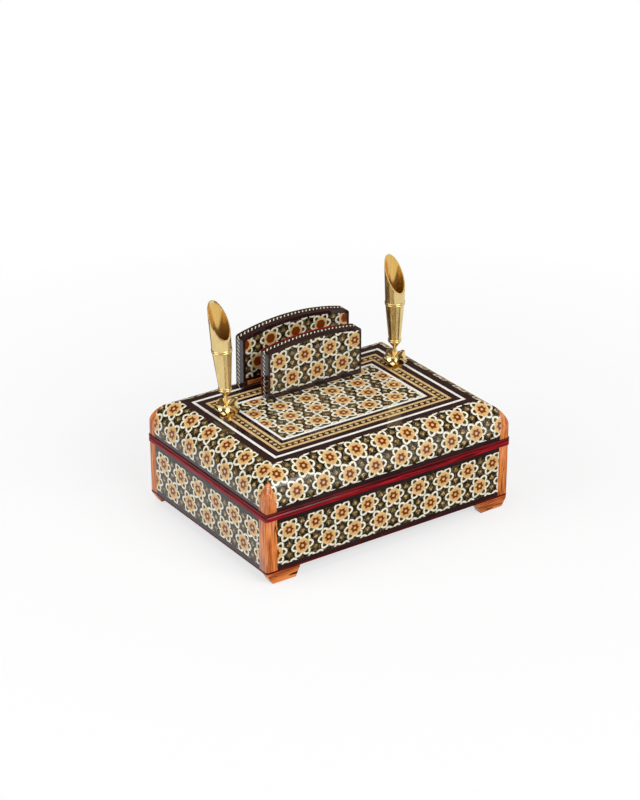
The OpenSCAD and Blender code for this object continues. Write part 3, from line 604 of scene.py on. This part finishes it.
def thicken(bm, depth):
    """Makes a sheet solid: the same faces again, depth below, and a wall round the rim."""
    weld(bm)
    bm.normal_update()
    rim = [e for e in bm.edges if len(e.link_faces) == 1]
    shown = bm.faces[:]
    below = {v: bm.verts.new(v.co - v.normal * depth) for v in bm.verts[:]}
    for face in shown:
        bm.faces.new([below[v] for v in reversed(face.verts)]).material_index = face.material_index
    for edge in rim:
        loop = edge.link_loops[0]
        a, b = loop.vert, loop.link_loop_next.vert
        bm.faces.new((b, a, below[a], below[b])).material_index = loop.face.material_index


def join(whole, bm):
    """Adds a bmesh to another one and frees it."""
    part = mesh_of(bm, "part")
    whole.from_mesh(part)
    bpy.data.meshes.remove(part)


def finished(bm, name, materials, node):
    """Turns a bmesh into the piece that stands for a CAD node and rides on its body."""
    mesh = mesh_of(bm, name)
    for material in materials:
        mesh.materials.append(material)
    mesh.shade_smooth()
    mesh.set_sharp_from_angle(angle=CURVED)
    obj = linked(name, mesh)
    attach(obj, frame["nodes"][node]["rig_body"])
    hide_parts(node)
    return obj


def smooth_copy(node, material, edge=0.0, key=None):
    """A copy of a CAD node with its triangles merged, its flats joined and its edges sanded round.
    A key tells solids that touch apart, from a point inside them."""
    groups = {}
    source = frame["nodes"][node].data
    for polygon in source.polygons:
        inside = polygon.center - polygon.normal * INSIDE
        groups.setdefault(key(inside) if key else 0, []).append(polygon)
    whole = bmesh.new()
    for polygons in groups.values():
        bm = bmesh.new()
        for polygon in polygons:
            bm.faces.new([bm.verts.new(source.vertices[i].co) for i in polygon.vertices])
        weld(bm)
        bmesh.ops.dissolve_limit(bm, angle_limit=FLAT, verts=bm.verts, edges=bm.edges)
        if edge:
            sharp = [e for e in bm.edges if len(e.link_faces) == 2 and e.calc_face_angle() > SHARP]
            bmesh.ops.bevel(bm, geom=sharp, offset=edge, offset_type="OFFSET", segments=2, profile=0.5,
                            affect="EDGES", clamp_overlap=True)
            weld(bm)
        join(whole, bm)
    return finished(whole, "finished_" + node, [material], node)


def side_of(point):
    """Which side of a mitred frame a point belongs to: the one whose outer face it is nearest to."""
    low, high = CAD_BOX
    gaps = {"front": point.y - low[1], "back": high[1] - point.y,
            "left": point.x - low[0], "right": high[0] - point.x}
    return min(gaps, key=gaps.get)


def paint(node, material):
    """Gives a CAD node that stays as it is its material."""
    data = frame["nodes"][node].data
    data.materials.clear()
    data.materials.append(material)


class PENBOX_OT_base_khatam(bpy.types.Operator):
    """Lays the marquetry sheets on the four sides of the base"""
    bl_idname = "penbox.base_khatam"
    bl_label = "Base marquetry"

    def execute(self, context):
        sizes = context.scene.penbox_sizes
        palette(context.scene)
        # How far along and how high a flower of the upper row is, as on the real box
        flowers = {"front": (0.0018, 0.0361), "back": (0.0018, 0.0361),
                   "left": (-0.0098, 0.0357), "right": (0.0098, 0.0357)}
        for side, (along, outward) in SIDES.items():
            node = "base_" + side + "_khatam"
            low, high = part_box(node)
            reach, face = span(node, along, outward)
            bm, materials = side_sheet(sizes, side, flowers[side])
            cut_to_outline(bm, rectangle(-reach, low.z, reach, high.z))
            for vert in bm.verts:
                vert.co = along * vert.co.x + outward * face + UP * vert.co.y
            thicken(bm, sizes.sheet)
            finished(bm, "khatam_base_" + side, materials, node)
        return {"FINISHED"}


class PENBOX_OT_lid_khatam(bpy.types.Operator):
    """Bends the marquetry sheets round the four curved sides of the lid"""
    bl_idname = "penbox.lid_khatam"
    bl_label = "Lid marquetry"

    def execute(self, context):
        sizes = context.scene.penbox_sizes
        palette(context.scene)
        radius, steps = sizes.curve_radius, 20
        foot_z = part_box("lid_corner_posts")[0].z
        post_low, post_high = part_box("front_left_post")
        post_width = post_high.x - post_low.x
        # How far along and how far up the curve from the lid's lip a flower of the upper row is
        flowers = {"front": (-0.0021, 0.0255), "back": (-0.0021, 0.0255),
                   "left": (-0.0098, 0.0266), "right": (0.0098, 0.0266)}
        for side, (along, outward) in SIDES.items():
            node = "lid_" + side + "_khatam"
            low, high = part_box(node)
            reach, face = span(node, along, outward)
            run = abs(outward.dot(high - low))
            start_z = high.z - math.sqrt(radius ** 2 - (radius - run) ** 2)
            straight = start_z - foot_z
            full = straight + radius * math.acos((radius - run) / radius)
            bm, materials = side_sheet(sizes, side, flowers[side])
            bmesh.ops.triangulate(bm, faces=bm.faces[:])
            cut_to_outline(bm, rectangle(-reach, low.z - foot_z, reach, full))
            for i in range(steps):
                score(bm, 1, straight + (full - straight) * i / steps)
            for vert in bm.verts:
                turned = max(0.0, vert.co.y - straight) / radius
                inset = radius - radius * math.cos(turned)
                height = foot_z + min(vert.co.y, straight) + radius * math.sin(turned)
                vert.co = along * vert.co.x + outward * (face - inset) + UP * height
            # Each end stops at the corner post's sloping edge and, above its tip, at the mitre
            neighbour, axis = ("lid_front_khatam", 1) if side in HANDS else ("lid_left_khatam", 0)
            end = -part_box(neighbour)[0][axis]
            lean = (post_width - sizes.post_top) / (high.z - foot_z)
            for way in (along, -along):
                cut(bm, way * end + outward * face, way - outward)
                cut(bm, way * (end - post_width) + UP * foot_z, way - UP * lean)
            thicken(bm, sizes.sheet)
            finished(bm, "khatam_lid_" + side, materials, node)
        return {"FINISHED"}


class PENBOX_OT_top_inlay(bpy.types.Operator):
    """Lays the centre panel and the chain band into the flat top"""
    bl_idname = "penbox.top_inlay"
    bl_label = "Top inlay"

    def execute(self, context):
        sizes = context.scene.penbox_sizes
        palette(context.scene)
        self.panel(sizes)
        self.band(sizes)
        return {"FINISHED"}

    def panel(self, sizes):
        """The centre panel: two sheets side by side, each with a flower at its own place."""
        low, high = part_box("top_centre_panel")
        middle = 0.0037
        panel = bmesh.new()
        for flower, y0, y1 in (((0.0002, 0.0275), middle + SEAM, high.y),
                               ((0.0085, -0.0045), low.y, middle)):
            bm, materials = flower_sheet(sizes.top_pitch, sizes.top_row, TOP_FLOWERS, flower)
            cut_to_outline(bm, rectangle(low.x, y0, high.x, y1))
            join(panel, bm)
        for vert in panel.verts:
            vert.co.z = high.z
        thicken(panel, sizes.sheet)
        finished(panel, "khatam_top_panel", materials, "top_centre_panel")

    def band(self, sizes):
        """The chain band: four mitred strips."""
        node = "top_khatam_band"
        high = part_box(node)[1]
        # From the band's outer edge to where its own inner corners are
        width = high.x - min(abs(v.co.x) for v in frame["nodes"][node].data.vertices if abs(v.co.x) > high.y)
        faces = chain_tile(sizes.chain_pitch, width)
        band = bmesh.new()
        for along, outward in SIDES.values():
            reach, face = span(node, along, outward)
            count = 2 * math.ceil(reach / sizes.chain_pitch) + 1
            bm, materials = laid_sheet(faces, sizes.chain_pitch, width, count, 1, (0, 0))
            cut_to_outline(bm, rectangle(-reach, -width / 2, reach, width / 2))
            for vert in bm.verts:
                vert.co = along * vert.co.x + outward * (face - width / 2 - vert.co.y) + UP * high.z
            for way in (along, -along):
                cut(bm, way * (reach - SEAM) + outward * face, way - outward)
            thicken(bm, sizes.sheet)
            join(band, bm)
        finished(band, "khatam_top_band", materials, node)


def plate_outline(left, right, low, arch_radius, arch_z, shoulder):
    """Anticlockwise (x, z) points of a plate: square feet, round shoulders and an arched top."""
    points = [(left, low), (right, low)]
    turns = []
    for x in (right - shoulder, left + shoulder):
        z = arch_z + math.sqrt((arch_radius - shoulder) ** 2 - x * x)
        turns.append((x, z, math.atan2(z - arch_z, x)))
    (xr, zr, ar), (xl, zl, al) = turns
    # For each arc: its middle, radius, first and last angle and steps, and whether its ends are left out
    for x, z, radius, first, last, steps, skip in ((xr, zr, shoulder, 0, ar, 7, 0),
                                                   (0, arch_z, arch_radius, ar, al, 28, 1),
                                                   (xl, zl, shoulder, al, math.pi, 7, 0)):
        for i in range(skip, steps + 1 - skip):
            a = first + (last - first) * i / steps
            points.append((x + radius * math.cos(a), z + radius * math.sin(a)))
    return points


class PENBOX_OT_letter_rack(bpy.types.Operator):
    """Faces the two plates of the letter rack and edges them with a beaded strip"""
    bl_idname = "penbox.letter_rack"
    bl_label = "Letter rack"

    def execute(self, context):
        sizes = context.scene.penbox_sizes
        materials = palette(context.scene)
        # Bands of each edging, from the back to the front
        front_bands = ((RED, 0.0012), (WALNUT, 0.0016), (BONE, 0.0024), (WALNUT, 0.004))
        back_bands = ((WALNUT, 0.002), (BONE, 0.0026), (WALNUT, 0.0046))
        # Borders at the left, right, top and bottom of each face
        front_border, back_border = (0.0009, 0.0008, 0.0011, 0.0036), (0.0012, 0.0012, 0.0015, 0.0085)
        # How far along and how high a flower of the upper row is
        front_flower, back_flower = (-0.0031, 0.0264), (-0.016, 0.0332)
        inner_shoulder = 0.001
        for name, rise, bands, border, flower in (
                ("front", sizes.front_rise, front_bands, front_border, front_flower),
                ("back", sizes.back_rise, back_bands, back_border, back_flower)):
            low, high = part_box("rack_" + name + "_edging")
            half = (high.x - low.x) / 2
            arch_radius = (half * half + rise * rise) / (2 * rise)
            arch_z = high.z - low.z - arch_radius
            outline = plate_outline(-half, half, 0, arch_radius, arch_z, sizes.shoulder)
            self.edge(sizes, name, low, high, outline, bands)
            left, right, top, bottom = border
            half -= sizes.edging
            arch_radius -= sizes.edging
            outer = plate_outline(-half, half, 0, arch_radius, arch_z, sizes.shoulder - sizes.edging)
            inner = plate_outline(left - half, half - right, bottom,
                                  arch_radius - top, arch_z, inner_shoulder)
            self.facings(sizes, materials, name, low, high, outer, inner, flower)
        return {"FINISHED"}

    def edge(self, sizes, name, low, high, outline, bands):
        """The edging: a flat beaded strip bent round the plate's outline."""
        centre, foot, thick = (low.x + high.x) / 2, low.z, high.y - low.y
        path = [Vector((x, 0, z)) for x, z in outline[1:] + outline[:1]]
        marks = [0.0]
        for a, b in zip(path, path[1:]):
            marks.append(marks[-1] + (b - a).length)
        pitch, end = sizes.edging_pitch, marks[-1]
        scale = thick / sum(width for _, width in bands)
        faces = edging_tile(pitch, [(stick, width * scale) for stick, width in bands])
        count = 2 * math.ceil(end / pitch / 2) + 3
        bm, materials = laid_sheet(faces, pitch, thick, count, 1, (end / 2, 0))
        cut_to_outline(bm, rectangle(0, 0, end, thick))
        for mark in marks[1:-1]:
            score(bm, 0, mark)
        slack = 1e-9
        for vert in bm.verts:
            i = max(k for k in range(len(marks) - 1) if marks[k] <= vert.co.x + slack)
            share = (vert.co.x - marks[i]) / (marks[i + 1] - marks[i])
            vert.co = path[i].lerp(path[i + 1], share) + Vector((centre, high.y - vert.co.y, foot))
        thicken(bm, sizes.edging)
        finished(bm, "rack_" + name + "_edge", materials, "rack_" + name + "_edging")

    def facings(self, sizes, materials, name, low, high, outer, inner, flower):
        """Both faces: marquetry in a dark border, and on the back plate a strip of stained wood below it."""
        centre, plain = (low.x + high.x) / 2, name == "back"
        at = (flower[0] - centre, flower[1])
        used = [materials["khatam " + stick] for stick in STICKS] + [materials["stained wood x"]]
        both = bmesh.new()
        for outward, face_y in ((-1, low.y), (1, high.y)):
            bm, found = flower_sheet(sizes.rack_pitch, sizes.rack_row, RACK_FLOWERS, at, plain)
            cut_to_outline(bm, inner)
            for face in bm.faces:
                face.material_index = used.index(found[face.material_index])
            self.border(bm, name, outer, inner)
            if plain:
                self.stained_strip(bm, outer[1][0], len(STICKS))
            for vert in bm.verts:
                vert.co = Vector((centre - outward * vert.co.x, face_y, low.z + vert.co.y))
            thicken(bm, sizes.sheet)
            join(both, bm)
        finished(both, "rack_" + name + "_faces", used, "rack_" + name + "_facings")

    def border(self, bm, name, outer, inner):
        """Fills the border between two outlines with dark veneer that shares the marquetry's rim points."""
        rim = {v for e in bm.edges if len(e.link_faces) == 1 for v in e.verts}
        edge = [bm.verts.new((x, z, 0)) for x, z in outer]
        corners = [Vector((x, z, 0)) for x, z in inner]
        for i, start in enumerate(corners):
            n = (i + 1) % len(corners)
            run = corners[n] - start
            way = run.normalized()
            seam = [v for v in rim if abs(way.cross(v.co - start).z) < WELD
                    and -WELD < way.dot(v.co - start) < run.length + WELD]
            if len(seam) < 2:
                raise RuntimeError("the border of the " + name + " plate doesn't meet its marquetry")
            seam.sort(key=lambda v: -way.dot(v.co))
            bm.faces.new((edge[i], edge[n], *seam)).material_index = WALNUT

    def stained_strip(self, bm, half, number):
        """Gives a strip low on a face, short of its ends, another material."""
        low, high, reach = 0.0032, 0.0062, half - 0.0025
        weld(bm)
        for axis, at in ((1, low), (1, high), (0, -reach), (0, reach)):
            score(bm, axis, at)
        for face in bm.faces:
            spot = face.calc_center_median()
            if low < spot.y < high and abs(spot.x) < reach:
                face.material_index = number


class PENBOX_OT_posts_and_feet(bpy.types.Operator):
    """Sands and stains the corner posts and the feet"""
    bl_idname = "penbox.posts_and_feet"
    bl_label = "Posts and feet"

    def execute(self, context):
        edge, materials = context.scene.penbox_sizes.soft_edge, palette(context.scene)
        upright, level = materials["stained wood z"], materials["stained wood x"]
        for corner in ("front_left", "front_right", "back_left", "back_right"):
            smooth_copy(corner + "_post", upright, edge)
            smooth_copy(corner + "_foot", level, edge)
        smooth_copy("lid_corner_posts", upright, edge)
        return {"FINISHED"}


class PENBOX_OT_lips_and_bands(bpy.types.Operator):
    """Lacquers the lips, the liner and the bottom board, and finishes the dark bands and white lines"""
    bl_idname = "penbox.lips_and_bands"
    bl_label = "Lips and bands"

    def execute(self, context):
        edge, materials = 0.5 * context.scene.penbox_sizes.soft_edge, palette(context.scene)
        smooth_copy("base_lip", materials["khatam red"], edge, side_of)
        # The lid's lip gets the darker copy of the red lacquer, which is painted shade
        smooth_copy("lid_lip", materials["dark red lacquer"], edge, side_of)
        for node in ("base_bands", "lid_bands", "top_dark_bands"):
            paint(node, materials["khatam walnut"])
        paint("top_white_lines", materials["white line"])
        paint("liner", materials["khatam red"])
        paint("bottom_board", materials["red board lacquer"])
        return {"FINISHED"}


class PENBOX_OT_pen_holders(bpy.types.Operator):
    """Buffs the petal cups, ball seats, ball stems and pen funnels"""
    bl_idname = "penbox.pen_holders"
    bl_label = "Pen holders"

    def execute(self, context):
        materials = palette(context.scene)
        for hand in HANDS:
            for piece in ("petal_cup", "ball_stem", "ball_seat"):
                smooth_copy(hand + "_" + piece, materials["polished brass"])
            funnel = smooth_copy(hand + "_funnel", materials["polished brass"]).data
            self.line_bore(funnel, materials["drawn brass"])
        return {"FINISHED"}

    def line_bore(self, mesh, material):
        """Gives the faces that look at a tube's axis another material."""
        mesh.materials.append(material)
        number = len(mesh.materials) - 1
        low = min(v.co.z for v in mesh.vertices)
        tall = max(v.co.z for v in mesh.vertices) - low
        # Two points of the axis, from slices of the tube that are whole rings
        slices, slice_half = (0.1, 0.4), 0.08 * tall
        ends = []
        for share in slices:
            near = [f for f in mesh.polygons if abs(f.center.z - low - share * tall) < slice_half]
            area = sum(f.area for f in near)
            ends.append(sum((f.center * f.area for f in near), Vector()) / area)
        foot, way = ends[0], (ends[1] - ends[0]).normalized()
        # Faces that look within 60 degrees of the axis, such as the rim, stay polished
        most_along = 0.5
        for face in mesh.polygons:
            out = face.center - foot
            out -= way * out.dot(way)
            if out.dot(face.normal) < 0 and abs(face.normal.dot(way)) < most_along:
                face.material_index = number


class PENBOX_OT_carcass(bpy.types.Operator):
    """Finishes the boards inside, the dowels, the hinges and the cups' screws"""
    bl_idname = "penbox.carcass"
    bl_label = "Carcass and hinges"

    def execute(self, context):
        materials = palette(context.scene)
        for side in SIDES:
            wood = materials["core wood y" if side in HANDS else "core wood x"]
            paint("base_" + side + "_board", wood)
            paint("lid_" + side + "_moulding", wood)
        for node in ("top_board", "rack_front_board", "rack_back_board"):
            paint(node, materials["core wood x"])
        paint("rack_dowels", materials["core wood z"])
        for node in ("hinge_base_leaves", "hinge_lid_leaves", "hinge_pins", "hinge_base_screws",
                     "hinge_lid_screws", "cup_screws"):
            smooth_copy(node, materials["polished brass"])
        return {"FINISHED"}


class PENBOX_OT_stage(bpy.types.Operator):
    """Sets up the floor, the cloths, the lamps and the camera"""
    bl_idname = "penbox.stage"
    bl_label = "Stage"

    def execute(self, context):
        scene = context.scene
        stage = scene.penbox_stage
        self.floor(stage)
        self.dark_cloths()
        self.world(scene, stage)
        # Where each lamp stands, its width and height, and its power
        for name, where, size, power in (
                ("key lamp", (-1.0, 0.25, 0.85), (0.9, 0.7), stage.key_power),
                ("front lamp", (0.25, -1.5, 1.25), (1.4, 0.9), stage.front_power),
                ("top lamp", (0.0, 0.1, 1.5), (1.0, 1.0), stage.top_power)):
            self.lamp(name, where, size, power)
        data = bpy.data.cameras.new("camera")
        data.lens = stage.lens
        data.sensor_width = 36
        data.clip_start = 0.01
        scene.camera = self.stand(data, stage.camera, stage.target)
        scene.view_settings.view_transform = "Standard"
        return {"FINISHED"}

    def stand(self, data, where, target):
        """Puts a lamp or a camera in its place and points it at its target."""
        obj = linked(data.name, data)
        obj.location = where
        obj.rotation_euler = (Vector(target) - Vector(where)).to_track_quat("-Z", "Y").to_euler()
        return obj

    def lamp(self, name, where, size, power):
        """A soft rectangular lamp that points at the object."""
        data = bpy.data.lights.new(name, "AREA")
        data.shape = "RECTANGLE"
        data.size, data.size_y = size
        data.energy = power
        middle_of_box = (0, 0, 0.05)
        self.stand(data, where, middle_of_box)

    def seen(self, tree):
        """1 for rays that show the background: from the camera, a mirror or through glass."""
        path = add(tree, "ShaderNodeLightPath").outputs
        share = path["Is Camera Ray"]
        for kind in ("Is Glossy Ray", "Is Transmission Ray"):
            share = add(tree, "ShaderNodeMath", {0: share, 1: path[kind]}, operation="MAXIMUM").outputs[0]
        return share

    def floor(self, stage):
        """A pale floor of painted board that goes on to white and keeps the shadow.
        To the eye it is plain, with faint roller marks."""
        tree, where = new_tree("painted floor board")
        dark, pale = opaque(stage.floor, 0.985), opaque(stage.floor)
        _, tint = clouded(tree, where, ROLLER_MARK, dark, pale, Detail=2.0)
        matt = add(tree, "ShaderNodeBsdfDiffuse", {"Color": tint})
        glow = add(tree, "ShaderNodeEmission", {"Color": (1, 1, 1, 1), "Strength": 1.0})
        away = add(tree, "ShaderNodeVectorMath", {0: where}, operation="LENGTH")
        white = add(tree, "ShaderNodeMapRange", {"Value": away.outputs["Value"], "From Min": 0.2,
                                                 "From Max": 0.5, "To Min": 0.68, "To Max": 1.0})
        share = add(tree, "ShaderNodeMath", {0: self.seen(tree), 1: white.outputs["Result"]},
                    operation="MULTIPLY").outputs[0]
        both = add(tree, "ShaderNodeMixShader", {0: share, 1: matt.outputs[0], 2: glow.outputs[0]})
        add(tree, "ShaderNodeOutputMaterial", {"Surface": both.outputs[0]})
        reach = 4
        corners = [(x, y, 0) for x, y in rectangle(-reach, -reach, reach, reach)]
        self.board("floor", corners, "painted floor board")

    def dark_cloths(self):
        """Dark felt cloths behind, above and close in front of the object, which only reflections see.
        To the eye they give lacquer and brass their depth. Their faint glow stands for the room's light."""
        tree, where = new_tree("dark felt cloth")
        dark, pale = opaque(linear("#2A2018")), opaque(linear("#3A2C20"))
        _, tint = clouded(tree, where, FELT_FLUFF, dark, pale, Detail=2.0)
        surface(tree, {"Base Color": tint, "Roughness": 0.9, "Emission Color": tint,
                       "Emission Strength": 4.0})
        left, front = CAD_BOX[0][:2]
        wide, lie, back, high, top = 2.4, 0.0005, 1.2, 1.3, 1.7
        # Edges of the cloth past the box, whose left side slants, and of the one before it
        past, past_left, past_slant = 0.205, -0.12, -0.47
        before, before_right = -0.17, 0.2
        behind = [(x, back, z) for x, z in rectangle(-wide, lie, wide, high)]
        beyond = [(past_left, past, lie), (wide, past, lie), (wide, back, lie), (past_slant, back, lie)]
        above = [(x, y, top) for x, y in rectangle(-wide, -wide, wide, back)]
        fore = [(x, y, lie) for x, y in rectangle(left, before, before_right, front)]
        for name, corners in (("cloth_behind", behind), ("cloth_past", beyond),
                              ("cloth_above", above), ("cloth_before", fore)):
            cloth = self.board(name, corners, "dark felt cloth")
            cloth.visible_camera = cloth.visible_diffuse = cloth.visible_shadow = False

    def board(self, name, corners, material):
        """A flat stage piece."""
        mesh = bpy.data.meshes.new(name)
        mesh.from_pydata(corners, [], [range(len(corners))])
        mesh.materials.append(bpy.data.materials[material])
        obj = linked(name, mesh)
        return obj

    def world(self, scene, stage):
        """An even sky for light, and plain white for what the camera and mirrors see."""
        world = bpy.data.worlds.new("studio")
        world.use_nodes = True
        tree = world.node_tree
        tree.nodes.clear()
        soft = add(tree, "ShaderNodeBackground", {"Color": (1, 1, 1, 1), "Strength": stage.sky})
        white = add(tree, "ShaderNodeBackground", {"Color": (1, 1, 1, 1), "Strength": 1.0})
        both = add(tree, "ShaderNodeMixShader",
                   {0: self.seen(tree), 1: soft.outputs[0], 2: white.outputs[0]})
        add(tree, "ShaderNodeOutputWorld", {"Surface": both.outputs[0]})
        scene.world = world


class PENBOX_PT_panel(bpy.types.Panel):
    """Builds the pen box and shows its sizes and colours"""
    bl_idname = "PENBOX_PT_panel"
    bl_label = "Pen box"
    bl_space_type = "VIEW_3D"
    bl_region_type = "UI"
    bl_category = "Pen box"

    def draw(self, context):
        for operator in OPERATORS:
            self.layout.operator(operator.bl_idname)
        for name in GROUPS:
            group = getattr(context.scene, name)
            box = self.layout.box()
            for key in group.__annotations__:
                box.prop(group, key)


GROUPS = {"penbox_sizes": PenBoxSizes, "penbox_colours": PenBoxColours, "penbox_stage": PenBoxStage}
OPERATORS = (PENBOX_OT_base_khatam, PENBOX_OT_lid_khatam, PENBOX_OT_top_inlay, PENBOX_OT_letter_rack,
             PENBOX_OT_posts_and_feet, PENBOX_OT_lips_and_bands, PENBOX_OT_pen_holders, PENBOX_OT_carcass,
             PENBOX_OT_stage)


def register():
    for cls in (*GROUPS.values(), *OPERATORS, PENBOX_PT_panel):
        bpy.utils.register_class(cls)
    for name, group in GROUPS.items():
        setattr(bpy.types.Scene, name, bpy.props.PointerProperty(type=group))


def unregister():
    for name in GROUPS:
        delattr(bpy.types.Scene, name)
    for cls in reversed((*GROUPS.values(), *OPERATORS, PENBOX_PT_panel)):
        bpy.utils.unregister_class(cls)


def main():
    register()
    for operator in OPERATORS:
        family, name = operator.bl_idname.split(".")
        getattr(getattr(bpy.ops, family), name)()


if __name__ == "__main__":
    main()
